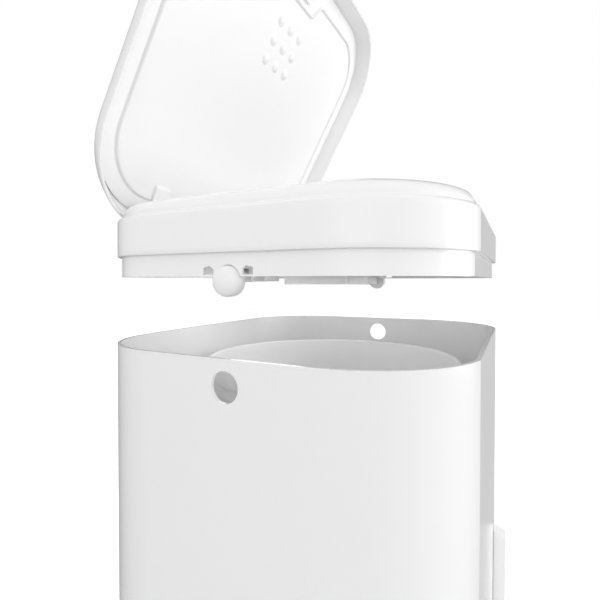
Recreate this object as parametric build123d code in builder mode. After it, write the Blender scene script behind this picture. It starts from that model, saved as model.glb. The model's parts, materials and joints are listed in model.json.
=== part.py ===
"""Pedal trash can: body with front door, lift-off head, hinged lid and pedal linkage."""

import os
from math import acos, asin, atan2, cos, hypot, pi, radians, sin

from build123d import *

os.makedirs("parts", exist_ok=True)

# ---------------------------------------------------------------- sizes, mm
# Plan of the body at its rim: X across, +Y towards the hinge, +Z up.
HALF_W = 140.0
BACK_Y = 114.2
FRONT_Y = -121.5
BACK_R = 61.6
FRONT_R = 68.0
FRONT_SWEEP = 80.0
SIDE_LEAN = 3.2
BACK_BOW = 2.0
RIM_Z = 645.0
DRAFT = 4.0
WALL = 2.2
SHELL_Z = 6.0
FLOOR_Z = 56.0
FLOOR_T = 2.2

# Fits
GAP = 0.3
RUN = 0.05
SNUG = 0.03
SLIDE = 0.1
ROD_GAP = 0.5

# Head, heights measured from the body rim when seated
LIFT = 54.3
SEAT = 0.3
FLANGE_H = 23.9
FLANGE_T = 2.6
SKIRT_BOTTOM = -12.2
SKIRT_INSET = 2.8
SKIRT_T = 2.0
STEP_IN = 3.0
HEAD_TOP = 33.4
DECK_UNDER = 26.6
DECK_TOP = 28.8
THROAT_R = 84.0
CENTRE_Y = -6.0
BAY_END = 30.5
BAY_X = HALF_W - BAY_END
BAY_Y = BACK_Y - 24.2
BAY_FLOOR = 20.9
PLATE_R = 7.0
PLATE_T = 2.0

# Release buttons
BUTTON_Y = -4.0
BUTTON_R = 8.15
BUTTON_DROP = 14.6
HOLE_R = BUTTON_R + GAP

# Lid
LID_OPEN = 61.5
HINGE_Y = BACK_Y - 4.9
HINGE_R = 31.6
PIN_R = 1.5
LID_HALF_W = HALF_W + 3.9
LID_BACK_Y = BACK_Y + 2.4
LID_FRONT_Y = FRONT_Y - 2.4
LID_BACK_R = 67.6
LID_FRONT_R = 60.2
LID_SEAT = 24.7
PANEL_T = 13.2
PANEL_THK = 1.2
LID_INNER_T = 16.6
DOME_R = 5.4
DOME_H = 2.0
LEVER_L = 16.0
LEVER_DOWN = 30.0
NOSE_R = 2.5

# Push rod line, and the pedal
ROD_X = -80.0
ROD_Y = HINGE_Y - 13.8
ROD_R = 3.0
ROD_TOP_DROP = 12.6
PIVOT_Y = 15.0
PIVOT_Z = 30.0
AXLE_R = 3.0
PAD_TOP = 42.0

# Liner ring and its deck
RING_X = 1.0
RING_R = 96.6
RING_T = 3.0
RING_DROP = 19.3
BAND_H = 10.4
DECK_Z = RIM_Z - 77.0
DECK_T = 3.0

# Front door
DOOR_X = HALF_W - 64.0
DOOR_Z0 = 76.0
DOOR_Z1 = RIM_Z - 224.0
DOOR_HINGE_X = -DOOR_X - 3.3
DOOR_HINGE_Y = FRONT_Y - 1.9
KNUCKLE_R = 2.9
DOOR_PIN_R = 1.5
GRIP_X0 = DOOR_X - 14.0
GRIP_X1 = DOOR_X - 2.0
GRIP_Z0 = RIM_Z - 315.0
GRIP_Z1 = RIM_Z - 160.0
GRIP_PROUD = 8.6

HEAD_Z = RIM_Z + LIFT
_OPEN = radians(LID_OPEN)
LID = Plane(
    origin=(0, HINGE_Y, HEAD_Z + HINGE_R),
    x_dir=(1, 0, 0),
    z_dir=(0, sin(_OPEN), cos(_OPEN)),
)


# ------------------------------------------------------------ plan outlines
def outline(w, b, f, rb, rf, sweep):
    """Rounded plan: soft back corners, front corners that meet the flat front at a crease."""
    a = radians(sweep)
    m = a / 2
    yc = f + rf * sin(a)
    with BuildLine() as plan:
        Line((0, b), (w - rb, b))
        ThreePointArc(
            (w - rb, b),
            (w - rb + rb * sin(pi / 4), b - rb + rb * cos(pi / 4)),
            (w, b - rb),
        )
        Line((w, b - rb), (w, yc))
        ThreePointArc(
            (w, yc),
            (w - rf + rf * cos(m), yc - rf * sin(m)),
            (w - rf + rf * cos(a), f),
        )
        Line((w - rf + rf * cos(a), f), (0, f))
        mirror(about=Plane.YZ)
    make_face(plan.edges())


# The body narrows towards the back, and its back bows out a little.
FRONT_C = (HALF_W - FRONT_R, FRONT_Y + FRONT_R * sin(radians(FRONT_SWEEP)))
BACK_C = (HALF_W - SIDE_LEAN - BACK_R, BACK_Y - BACK_BOW - BACK_R)
SPAN_X, SPAN_Y = FRONT_C[0] - BACK_C[0], FRONT_C[1] - BACK_C[1]
SIDE_A = atan2(SPAN_Y, SPAN_X) + acos((BACK_R - FRONT_R) / hypot(SPAN_X, SPAN_Y))
BOW_R = (BACK_C[0] ** 2 + (BACK_R + BACK_BOW) ** 2 - BACK_R**2) / (2 * BACK_BOW)
BOW_A = atan2(BACK_C[1] - BACK_Y + BOW_R, BACK_C[0])


def wall_x(y):
    """X of the rim's outer side at a place along the straight part of the side."""
    lean = (BACK_C[0] * cos(SIDE_A) + (BACK_C[1] - y) * sin(SIDE_A) + BACK_R) / cos(SIDE_A)
    return min(HALF_W, lean)


def arc_about(centre, r, a0, a1):
    """Arc about a centre between two angles in radians."""
    ThreePointArc(*[(centre[0] + r * cos(a), centre[1] + r * sin(a)) for a in (a0, (a0 + a1) / 2, a1)])


def body_plan(d):
    """Body outline moved inward by d."""
    rb, rf = BACK_R - d, FRONT_R - d
    sweep = asin((FRONT_C[1] - FRONT_Y - d) / rf)
    with BuildLine() as plan:
        arc_about((0, BACK_Y - BOW_R), BOW_R - d, pi / 2, BOW_A)
        arc_about(BACK_C, rb, BOW_A, SIDE_A)
        Line(
            (BACK_C[0] + rb * cos(SIDE_A), BACK_C[1] + rb * sin(SIDE_A)),
            (FRONT_C[0] + rf * cos(SIDE_A), FRONT_C[1] + rf * sin(SIDE_A)),
        )
        arc_about(FRONT_C, rf, SIDE_A, -sweep)
        Line((FRONT_C[0] + rf * cos(sweep), FRONT_Y + d), (0, FRONT_Y + d))
        mirror(about=Plane.YZ)
    make_face(plan.edges())


def lid_plan(d):
    """Lid outline moved inward by d, measured from the hinge line."""
    outline(
        LID_HALF_W - d,
        LID_BACK_Y - HINGE_Y - d,
        LID_FRONT_Y - HINGE_Y + d,
        LID_BACK_R - d,
        LID_FRONT_R - d,
        89.0,
    )


SIDE_X = wall_x(BUTTON_Y)
BUTTON_FACE = SIDE_X - WALL - GAP


def draft(z):
    """How far the drafted body wall stands in at height z."""
    return DRAFT * (RIM_Z - z) / RIM_Z


def front(z):
    """Y of the outer front face at height z."""
    return FRONT_Y + draft(z)


def body_block(z0, z1, d, mode=Mode.ADD):
    """Drafted block between two heights, inset by d."""
    with BuildSketch(Plane.XY.offset(z0)) as low:
        body_plan(draft(z0) + d)
    with BuildSketch(Plane.XY.offset(z1)) as high:
        body_plan(draft(z1) + d)
    loft(sections=[low.sketch, high.sketch], ruled=True, mode=mode)


def head_stack(levels, mode=Mode.ADD):
    """Ruled stack through (height, inset) pairs on the head."""
    faces = []
    for r, d in levels:
        with BuildSketch(Plane.XY.offset(HEAD_Z + r)) as level:
            body_plan(d)
        faces.append(level.sketch)
    loft(sections=faces, ruled=True, mode=mode)


def lid_stack(levels, mode=Mode.ADD):
    """Ruled stack through (depth from the lid rim, inset) pairs on the lid."""
    faces = []
    for t, d in levels:
        with BuildSketch(LID.offset(LID_SEAT - HINGE_R + t)) as level:
            lid_plan(d)
        faces.append(level.sketch)
    loft(sections=faces, ruled=True, mode=mode)


def span_box(x0, x1, y0, y1, z0, z1, mode=Mode.ADD):
    """Box given by its limits."""
    with Locations(((x0 + x1) / 2, (y0 + y1) / 2, (z0 + z1) / 2)):
        Box(x1 - x0, y1 - y0, z1 - z0, mode=mode)


def post(x, y, z0, z1, r, mode=Mode.ADD):
    """Upright cylinder between two heights."""
    with Locations((x, y, (z0 + z1) / 2)):
        Cylinder(r, z1 - z0, mode=mode)


def bar_x(x0, x1, y, z, r, mode=Mode.ADD):
    """Cylinder along X between two positions."""
    with Locations(((x0 + x1) / 2, y, z)):
        Cylinder(r, x1 - x0, rotation=(0, 90, 0), mode=mode)


def export(builder, name):
    """Label a finished piece and write it out."""
    builder.part.label = name
    export_step(builder.part, f"parts/{name}.step")


# -------------------------------------------------------------------- body
BOSS_X = HALF_W - 45
BOSSES = [(-BOSS_X, 60), (BOSS_X, 60), (-BOSS_X, -70), (BOSS_X, -70)]
LUGS = [(-1, 52), (1, 52), (-1, -56), (1, -56)]
KNUCKLE_Z0 = DOOR_Z0 + 40
KNUCKLE_Z1 = DOOR_Z1 - 40
KNUCKLE_H = 12.0
DOOR_BODY_KNUCKLES = [(KNUCKLE_Z0 - KNUCKLE_H, KNUCKLE_Z0), (KNUCKLE_Z1, KNUCKLE_Z1 + KNUCKLE_H)]
DOOR_OWN_KNUCKLES = [
    (KNUCKLE_Z0 + GAP, KNUCKLE_Z0 + KNUCKLE_H),
    (KNUCKLE_Z1 - KNUCKLE_H, KNUCKLE_Z1 - GAP),
]

with BuildPart() as body_shell:
    body_block(SHELL_Z, RIM_Z, 0)
    body_block(FLOOR_Z + FLOOR_T, RIM_Z, WALL, Mode.SUBTRACT)
    body_block(SHELL_Z, FLOOR_Z, WALL, Mode.SUBTRACT)
    # Bosses for the base screws hang from the floor.
    for bx, by in BOSSES:
        post(bx, by, 10, FLOOR_Z + 0.5, 4.5)
        post(bx, by, 9, 30, 1.5 + SNUG, Mode.SUBTRACT)
    # Lugs carry the ring deck.
    for side, by in LUGS:
        x_wall = wall_x(by) - WALL - draft(DECK_Z)
        x0, x1 = sorted((side * (x_wall - 12), side * (x_wall + 1)))
        span_box(x0, x1, by - 7, by + 7, DECK_Z - 16, DECK_Z)
        post(side * (x_wall - 6), by, DECK_Z - 12, DECK_Z + 1, 1.5 + SNUG, Mode.SUBTRACT)
    # Button holes, through both side walls.
    bar_x(-HALF_W - 10, HALF_W + 10, BUTTON_Y, RIM_Z - BUTTON_DROP, HOLE_R, Mode.SUBTRACT)
    # Door opening, pedal slot and rod hole.
    span_box(-DOOR_X, DOOR_X, FRONT_Y - 9, FRONT_Y + 21, DOOR_Z0, DOOR_Z1, Mode.SUBTRACT)
    span_box(-24, 24, FRONT_Y - 9, FRONT_Y + 21, SHELL_Z - 1, 52, Mode.SUBTRACT)
    post(ROD_X, ROD_Y, FLOOR_Z - 1, FLOOR_Z + 4, ROD_R + SLIDE, Mode.SUBTRACT)
    # Door knuckles on the body.
    for z0, z1 in DOOR_BODY_KNUCKLES:
        span_box(DOOR_HINGE_X - 4.5, DOOR_HINGE_X, DOOR_HINGE_Y - 1, front(z0) + 1.2, z0, z1)
        post(DOOR_HINGE_X, DOOR_HINGE_Y, z0, z1, KNUCKLE_R)
        post(DOOR_HINGE_X, DOOR_HINGE_Y, z0 - 1, z1 + 1, DOOR_PIN_R + SNUG, Mode.SUBTRACT)
export(body_shell, "body_shell")

# -------------------------------------------------------------------- base
with BuildPart() as base_plate:
    with BuildSketch(Plane.XY.offset(2.5)):
        body_plan(draft(SHELL_Z) + 0.2)
    extrude(amount=SHELL_Z - 2.5)
    with BuildSketch(Plane.XY.offset(SHELL_Z)) as spigot:
        body_plan(draft(SHELL_Z) + WALL + GAP)
    extrude(amount=8)
    with BuildSketch(Plane.XY.offset(SHELL_Z)):
        body_plan(draft(SHELL_Z) + WALL + GAP + 3)
    extrude(amount=9, mode=Mode.SUBTRACT)
    span_box(-24, 24, FRONT_Y - 9, FRONT_Y + 21, SHELL_Z, 20, Mode.SUBTRACT)
    for bx, by in BOSSES:
        post(bx, by, SHELL_Z - 0.5, 10, 5)
        post(bx, by, 2, 11, 1.7, Mode.SUBTRACT)
        post(bx, by, 2, 4.9, 3.4, Mode.SUBTRACT)
export(base_plate, "base_plate")

with BuildPart() as base_screws:
    for bx, by in BOSSES:
        post(bx, by, 2.7, 4.9, 3.0)
        post(bx, by, 4.8, 24, 1.5)
export(base_screws, "base_screws")

FOOT_X = HALF_W - 36
with BuildPart() as base_feet:
    for bx, by in [(-FOOT_X, 72), (FOOT_X, 72), (-FOOT_X, -80), (FOOT_X, -80), (0, 0)]:
        post(bx, by, 0, 2.5, 10)
export(base_feet, "base_feet")

# ------------------------------------------------------------------- pedal
BRACKET_X = HALF_W - 42
TREAD_Y = FRONT_Y - 38.5
with BuildPart() as pedal_brackets:
    for side in (-1, 1):
        x0, x1 = sorted((side * BRACKET_X, side * (BRACKET_X + 5)))
        span_box(x0, x1, PIVOT_Y - 9, PIVOT_Y + 9, SHELL_Z, PIVOT_Z)
        bar_x(x0, x1, PIVOT_Y, PIVOT_Z, 9)
        bar_x(x0 - 1, x1 + 1, PIVOT_Y, PIVOT_Z, AXLE_R + SNUG, Mode.SUBTRACT)
export(pedal_brackets, "pedal_brackets")

with BuildPart() as pedal_axle:
    bar_x(-BRACKET_X - 8, BRACKET_X + 8, PIVOT_Y, PIVOT_Z, AXLE_R)
export(pedal_axle, "pedal_axle")

with BuildPart() as pedal_arm:
    bar_x(-BRACKET_X + GAP, BRACKET_X - GAP, PIVOT_Y, PIVOT_Z, 6)
    for x0 in (-21, 15):
        with BuildSketch(Plane.YZ.offset(x0)):
            with BuildLine():
                Polyline(
                    (PIVOT_Y, PIVOT_Z + 5),
                    (FRONT_Y + 1.5, 20.5),
                    (TREAD_Y + 2, 20.5),
                    (TREAD_Y + 2, 16),
                    (FRONT_Y + 1.5, 12.5),
                    (PIVOT_Y, PIVOT_Z - 5),
                    close=True,
                )
            make_face()
        extrude(amount=6)
    span_box(-30, 30, TREAD_Y, TREAD_Y + 30, 17.5, 20.5)
    with BuildSketch(Plane.YZ.offset(ROD_X - 5)):
        with BuildLine():
            Polyline(
                (PIVOT_Y, PIVOT_Z + 5.5),
                (ROD_Y - 5, PAD_TOP),
                (ROD_Y + 5, PAD_TOP),
                (ROD_Y + 5, PAD_TOP - 6),
                (ROD_Y - 5, PAD_TOP - 8),
                (PIVOT_Y, PIVOT_Z - 5.5),
                close=True,
            )
        make_face()
    extrude(amount=10)
    bar_x(-HALF_W, HALF_W, PIVOT_Y, PIVOT_Z, AXLE_R + RUN, Mode.SUBTRACT)
export(pedal_arm, "pedal_arm")

with BuildPart() as pedal_tread:
    span_box(-29, 29, TREAD_Y + 1, TREAD_Y + 29, 20.5, 23.5)
    with GridLocations(0, 6, 1, 4):
        with Locations((0, TREAD_Y + 15, 23.5)):
            Box(50, 2, 1.4)
export(pedal_tread, "pedal_tread")

# ---------------------------------------------------------------- push rod
with BuildPart() as push_rod:
    post(ROD_X, ROD_Y, PAD_TOP + ROD_GAP + 6, RIM_Z - ROD_TOP_DROP, ROD_R)
    post(ROD_X, ROD_Y, PAD_TOP + ROD_GAP, PAD_TOP + ROD_GAP + 7, 1.5)
export(push_rod, "push_rod")

with BuildPart() as rod_channel:
    span_box(ROD_X - 7, ROD_X + 7, ROD_Y - 7, ROD_Y + 7, FLOOR_Z + FLOOR_T, DECK_Z)
    span_box(ROD_X - 5.2, ROD_X + 5.2, ROD_Y - 5.2, ROD_Y + 5.2, FLOOR_Z, RIM_Z, Mode.SUBTRACT)
export(rod_channel, "rod_channel")

# ------------------------------------------------------- liner ring and deck
with BuildPart() as ring_deck:
    with BuildSketch(Plane.XY.offset(DECK_Z)):
        body_plan(draft(DECK_Z) + WALL + GAP)
    extrude(amount=DECK_T)
    post(RING_X, CENTRE_Y, DECK_Z, DECK_Z + DECK_T + 8, RING_R - RING_T - GAP)
    post(RING_X, CENTRE_Y, DECK_Z - 1, DECK_Z + 20, RING_R - RING_T - GAP - 2.4, Mode.SUBTRACT)
    post(ROD_X, ROD_Y, DECK_Z - 1, DECK_Z + 5, ROD_R + SLIDE, Mode.SUBTRACT)
    for side, by in LUGS:
        bx = side * (wall_x(by) - WALL - draft(DECK_Z) - 6)
        post(bx, by, DECK_Z - 1, DECK_Z + 5, 1.7, Mode.SUBTRACT)
export(ring_deck, "ring_deck")

with BuildPart() as deck_screws:
    for side, by in LUGS:
        bx = side * (wall_x(by) - WALL - draft(DECK_Z) - 6)
        post(bx, by, DECK_Z + DECK_T, DECK_Z + DECK_T + 2, 3)
        post(bx, by, DECK_Z - 10, DECK_Z + DECK_T + 0.5, 1.5)
export(deck_screws, "deck_screws")

RING_TOP = RIM_Z - RING_DROP
with BuildPart() as liner_ring:
    post(RING_X, CENTRE_Y, DECK_Z + DECK_T, RING_TOP, RING_R - 1.4)
    post(RING_X, CENTRE_Y, RING_TOP - BAND_H, RING_TOP, RING_R)
    post(RING_X, CENTRE_Y, DECK_Z, RIM_Z, RING_R - RING_T, Mode.SUBTRACT)
    lip = liner_ring.edges().filter_by(GeomType.CIRCLE).group_by(Axis.Z)[-1]
    fillet(lip, 0.9)
export(liner_ring, "liner_ring")

# -------------------------------------------------------------- front door
with BuildPart() as door_panel:
    body_block(SHELL_Z, RIM_Z, 0)
    body_block(SHELL_Z, RIM_Z, WALL, Mode.SUBTRACT)
    span_box(
        -DOOR_X + GAP,
        DOOR_X - GAP,
        FRONT_Y - 9,
        FRONT_Y + 21,
        DOOR_Z0 + GAP,
        DOOR_Z1 - GAP,
        Mode.INTERSECT,
    )
    # Stiffening frame behind the panel.
    frame_x = DOOR_X - 12
    span_box(-frame_x, frame_x, FRONT_Y + 3.5, FRONT_Y + 11.5, DOOR_Z0 + 12, DOOR_Z1 - 12)
    frame_x -= 2.5
    span_box(
        -frame_x,
        frame_x,
        FRONT_Y + 3.9,
        FRONT_Y + 16,
        DOOR_Z0 + 14.5,
        DOOR_Z1 - 14.5,
        Mode.SUBTRACT,
    )
    body_block(SHELL_Z, RIM_Z, 0, Mode.INTERSECT)
    for z0, z1 in DOOR_OWN_KNUCKLES:
        span_box(DOOR_HINGE_X, 6 - DOOR_X, DOOR_HINGE_Y - 1, front(z1) - GAP, z0, z1)
        span_box(-DOOR_X + GAP, 6 - DOOR_X, DOOR_HINGE_Y - 1, front(z0) + 1.2, z0, z1)
        post(DOOR_HINGE_X, DOOR_HINGE_Y, z0, z1, KNUCKLE_R)
        post(DOOR_HINGE_X, DOOR_HINGE_Y, z0 - 1, z1 + 1, DOOR_PIN_R + RUN, Mode.SUBTRACT)
export(door_panel, "door_panel")

with BuildPart() as door_hinge_pins:
    pin_l = 2 * KNUCKLE_H + 0.6
    post(DOOR_HINGE_X, DOOR_HINGE_Y, KNUCKLE_Z0 - KNUCKLE_H, KNUCKLE_Z0 - KNUCKLE_H + pin_l, DOOR_PIN_R)
    post(DOOR_HINGE_X, DOOR_HINGE_Y, KNUCKLE_Z1 + KNUCKLE_H - pin_l, KNUCKLE_Z1 + KNUCKLE_H, DOOR_PIN_R)
export(door_hinge_pins, "door_hinge_pins")

with BuildPart() as door_grip:
    with BuildSketch(Plane.YZ.offset(GRIP_X0)):
        with BuildLine():
            Polyline(
                (front(GRIP_Z1) - GAP, GRIP_Z1),
                (front(GRIP_Z1) - GRIP_PROUD, GRIP_Z1 - 3.5),
                (front(GRIP_Z0) - GRIP_PROUD, GRIP_Z0 + 3.5),
                (front(GRIP_Z0) - GAP, GRIP_Z0),
                close=True,
            )
        make_face()
    extrude(amount=GRIP_X1 - GRIP_X0)
    # Pad that seats the grip on the door.
    pad_z0, pad_z1 = GRIP_Z0 + 8, DOOR_Z1 - 9
    with BuildSketch(Plane.YZ.offset(GRIP_X0 + 2)):
        with BuildLine():
            Polyline(
                (front(pad_z1), pad_z1),
                (front(pad_z1) - 1, pad_z1),
                (front(pad_z0) - 1, pad_z0),
                (front(pad_z0), pad_z0),
                close=True,
            )
        make_face()
    extrude(amount=GRIP_X1 - GRIP_X0 - 4)
export(door_grip, "door_grip")

# -------------------------------------------------------------------- head
HEAD_BOSS_X = HALF_W - 25
HEAD_BOSSES = [
    (-HEAD_BOSS_X, 45),
    (HEAD_BOSS_X, 45),
    (-HEAD_BOSS_X, -45),
    (HEAD_BOSS_X, -45),
    (-60, FRONT_Y + 23.5),
    (60, FRONT_Y + 23.5),
]
EARS = [(-88.2, -84.5), (-60.2, -56), (56, 60.2), (84.5, 88.2)]


def hz(r):
    """Height in space of a seated head height."""
    return HEAD_Z + r


def bay_block(r0, r1, d):
    """Part of the hinge bay, kept inside the head outline."""
    with BuildSketch(Plane.XY.offset(hz(r0))) as bay:
        body_plan(d)
        with Locations((0, BAY_Y + 18)):
            Rectangle(2 * BAY_X + 4, 40, mode=Mode.INTERSECT)
    extrude(bay.sketch, amount=r1 - r0)


with BuildPart() as head_shell:
    head_stack([(SEAT, 0), (SEAT + FLANGE_H, 0)])
    head_stack([(SEAT + FLANGE_H, STEP_IN), (27.2, 3.2), (30.0, 4.8), (32.3, 8.0), (HEAD_TOP, 12.5)])
    head_stack([(SEAT, FLANGE_T), (21.9, FLANGE_T)], Mode.SUBTRACT)
    head_stack([(21.9, 5.6), (25.4, 5.8), (DECK_UNDER, 6.6)], Mode.SUBTRACT)
    head_stack([(DECK_TOP, 19), (HEAD_TOP, 15)], Mode.SUBTRACT)
    # Bay at the back for the lid's rear edge and hinge.
    bay_block(BAY_FLOOR - 2, 21.9, 2.0)
    bay_block(21.9, DECK_UNDER + 1, 5.0)
    span_box(-BAY_X, BAY_X, BAY_Y, BACK_Y + 11, hz(BAY_FLOOR), hz(45), Mode.SUBTRACT)
    post(0, CENTRE_Y, hz(15), hz(40), THROAT_R, Mode.SUBTRACT)
    # Hinge ears.
    for x0, x1 in EARS:
        span_box(x0, x1, HINGE_Y - 3.7, HINGE_Y + 2.6, hz(BAY_FLOOR - 0.5), hz(HINGE_R + 2.6))
        bar_x(x0 - 1, x1 + 1, HINGE_Y, hz(HINGE_R), PIN_R + SNUG, Mode.SUBTRACT)
    # Bosses for the frame screws, and the hole that guides the lift pin.
    for bx, by in HEAD_BOSSES:
        post(bx, by, hz(PLATE_R + PLATE_T), hz(DECK_UNDER + 0.5), 4.5)
        post(bx, by, hz(PLATE_R), hz(22), 1.5 + SNUG, Mode.SUBTRACT)
    post(ROD_X, ROD_Y, hz(15), hz(25), ROD_R + SLIDE, Mode.SUBTRACT)
export(head_shell, "head_shell")

RAIL_IN = 9.3
RAIL_OUT = 11.3
SPRING_X = THROAT_R + 5.9
TAIL_X = SPRING_X + 1.1
with BuildPart() as head_frame:
    with BuildSketch(Plane.XY.offset(hz(SKIRT_BOTTOM))):
        body_plan(SKIRT_INSET)
    extrude(amount=PLATE_R + PLATE_T - SKIRT_BOTTOM)
    with BuildSketch(Plane.XY.offset(hz(SKIRT_BOTTOM))):
        body_plan(SKIRT_INSET + SKIRT_T)
    extrude(amount=PLATE_R - SKIRT_BOTTOM, mode=Mode.SUBTRACT)
    # Throat tube.
    post(0, CENTRE_Y, hz(-10), hz(DECK_UNDER), THROAT_R + 2)
    post(0, CENTRE_Y, hz(-15), hz(40), THROAT_R, Mode.SUBTRACT)
    for side in (-1, 1):
        # Rails for the release slides; the right pair stops short of the release arm.
        inner = 105 if side > 0 else 90
        for s in (-1, 1):
            x0, x1 = sorted((side * inner, side * (SIDE_X - 4)))
            y0, y1 = sorted((BUTTON_Y + s * RAIL_IN, BUTTON_Y + s * RAIL_OUT))
            span_box(x0, x1, y0, y1, hz(-12), hz(PLATE_R + 0.5))
            y0, y1 = sorted((BUTTON_Y + s * 7, BUTTON_Y + s * RAIL_OUT))
            span_box(x0, x1, y0, y1, hz(-12), hz(-10.7))
        # Stop post for the leaf spring, joined to the throat tube.
        x0, x1 = sorted((side * (THROAT_R + 1), side * SPRING_X))
        span_box(x0, x1, BUTTON_Y - 5, BUTTON_Y + 5, hz(-9.5), hz(PLATE_R + 0.5))
        # Button cut-out with a five-sided window either side of it.
        x0, x1 = sorted((side * (SIDE_X - 8.5), side * (SIDE_X + 2)))
        bar_x(x0, x1, BUTTON_Y, hz(-BUTTON_DROP), BUTTON_R + GAP, Mode.SUBTRACT)
        for s in (-1, 1):
            with BuildSketch(Plane.YZ.offset(x0)):
                with BuildLine():
                    Polyline(
                        (BUTTON_Y + s * 15.8, hz(-11.3)),
                        (BUTTON_Y + s * 15.8, hz(-7.6)),
                        (BUTTON_Y + s * 11.9, hz(-6.5)),
                        (BUTTON_Y + s * 9.0, hz(-8.4)),
                        (BUTTON_Y + s * 9.4, hz(-11.3)),
                        close=True,
                    )
                make_face()
            extrude(amount=x1 - x0, mode=Mode.SUBTRACT)
        x0, x1 = sorted((side * (SIDE_X - 7), side * (SIDE_X - 4)))
        span_box(x0, x1, BUTTON_Y - 6.8, BUTTON_Y + 6.8, hz(-11), hz(-6), Mode.SUBTRACT)
    for bx, by in HEAD_BOSSES:
        post(bx, by, hz(PLATE_R - 1), hz(PLATE_R + 3), 1.7, Mode.SUBTRACT)
    post(ROD_X, ROD_Y, hz(PLATE_R - 1), hz(PLATE_R + 3), ROD_R + SLIDE, Mode.SUBTRACT)
export(head_frame, "head_frame")

with BuildPart() as head_screws:
    for bx, by in HEAD_BOSSES:
        post(bx, by, hz(PLATE_R - 2), hz(PLATE_R), 3)
        post(bx, by, hz(PLATE_R - 0.5), hz(20), 1.5)
export(head_screws, "head_screws")

LEVER_TOP = HINGE_R + LEVER_L * sin(radians(LID_OPEN - LEVER_DOWN))
with BuildPart() as lift_pin:
    post(ROD_X, ROD_Y, hz(-ROD_TOP_DROP + 0.5), hz(LEVER_TOP - NOSE_R - 6), ROD_R)
    post(ROD_X, ROD_Y, hz(LEVER_TOP - NOSE_R - 7), hz(LEVER_TOP - NOSE_R - 0.26), 1.5)
export(lift_pin, "lift_pin")

with BuildPart() as release_slide_left:
    bar_x(-BUTTON_FACE, 5.5 - BUTTON_FACE, BUTTON_Y, hz(-BUTTON_DROP), BUTTON_R)
    span_box(5 - BUTTON_FACE, -TAIL_X, BUTTON_Y - 4.5, BUTTON_Y + 4.5, hz(-12), hz(-8))
    span_box(8 - BUTTON_FACE, -TAIL_X, BUTTON_Y - 9, BUTTON_Y + 9, hz(-10.4), hz(-6.4))
    span_box(-122.8, -118.5, BUTTON_Y - 6.5, BUTTON_Y + 6.5, hz(-15.1), hz(-10))
    span_box(-109, -92, BUTTON_Y - 6.5, BUTTON_Y + 6.5, hz(-14.9), hz(-10))
    rim = release_slide_left.faces().sort_by(Axis.X)[0].edges()
    fillet(rim, 1.2)
export(release_slide_left, "release_slide_left")

ARM_R = THROAT_R + 15
with BuildPart() as release_slide_right:
    bar_x(BUTTON_FACE - 5.5, BUTTON_FACE, BUTTON_Y, hz(-BUTTON_DROP), BUTTON_R)
    span_box(TAIL_X, BUTTON_FACE - 5, BUTTON_Y - 4.5, BUTTON_Y + 4.5, hz(-12), hz(-8))
    span_box(105.5, BUTTON_FACE - 8, BUTTON_Y - 9, BUTTON_Y + 9, hz(-10.4), hz(-6.4))
    span_box(97, BUTTON_FACE - 5.2, BUTTON_Y - 1.5, BUTTON_Y + 1.5, hz(-18.3), hz(-10))
    # Curved arm that follows the throat round to the back.
    with BuildSketch(Plane.XY.offset(hz(-18.3))):
        with BuildLine():
            CenterArc((0, CENTRE_Y), ARM_R, 0, 50)
            CenterArc((0, CENTRE_Y), ARM_R - 3, 0, 50)
            Line((ARM_R - 3, CENTRE_Y), (ARM_R, CENTRE_Y))
            Line(
                ((ARM_R - 3) * cos(radians(50)), CENTRE_Y + (ARM_R - 3) * sin(radians(50))),
                (ARM_R * cos(radians(50)), CENTRE_Y + ARM_R * sin(radians(50))),
            )
        make_face()
    extrude(amount=11.9)
    post(
        (ARM_R - 3) * cos(radians(12.5)),
        CENTRE_Y + (ARM_R - 3) * sin(radians(12.5)),
        hz(-18.3),
        hz(-7),
        1.6,
    )
    rim = release_slide_right.faces().sort_by(Axis.X)[-1].edges()
    fillet(rim, 1.2)
export(release_slide_right, "release_slide_right")

with BuildPart() as release_springs:
    for side in (-1, 1):
        x0, x1 = sorted((side * SPRING_X, side * (SPRING_X + 0.8)))
        span_box(x0, x1, BUTTON_Y - 6, BUTTON_Y + 6, hz(-10), hz(-3))
export(release_springs, "release_springs")

# --------------------------------------------------------------------- lid
with BuildPart(LID) as lid_shell:
    lid_stack([(0, 0), (8.4, 2.6), (15.2, 6.4), (17.8, 11.5), (19.1, 20)])
    lid_stack([(0, 2.2), (9.0, 4.8), (14.6, 8.4), (LID_INNER_T, 17.5)], Mode.SUBTRACT)
    # The rear edge is notched round each pair of hinge ears.
    for side in (-1, 1):
        with Locations((side * 72.2, 5.2, -1.4)):
            Box(34.4, 10, 12.6, mode=Mode.SUBTRACT)
export(lid_shell, "lid_shell")


def lid_z(t):
    """Local height above the hinge line of a depth measured from the lid rim."""
    return LID_SEAT - HINGE_R + t


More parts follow.
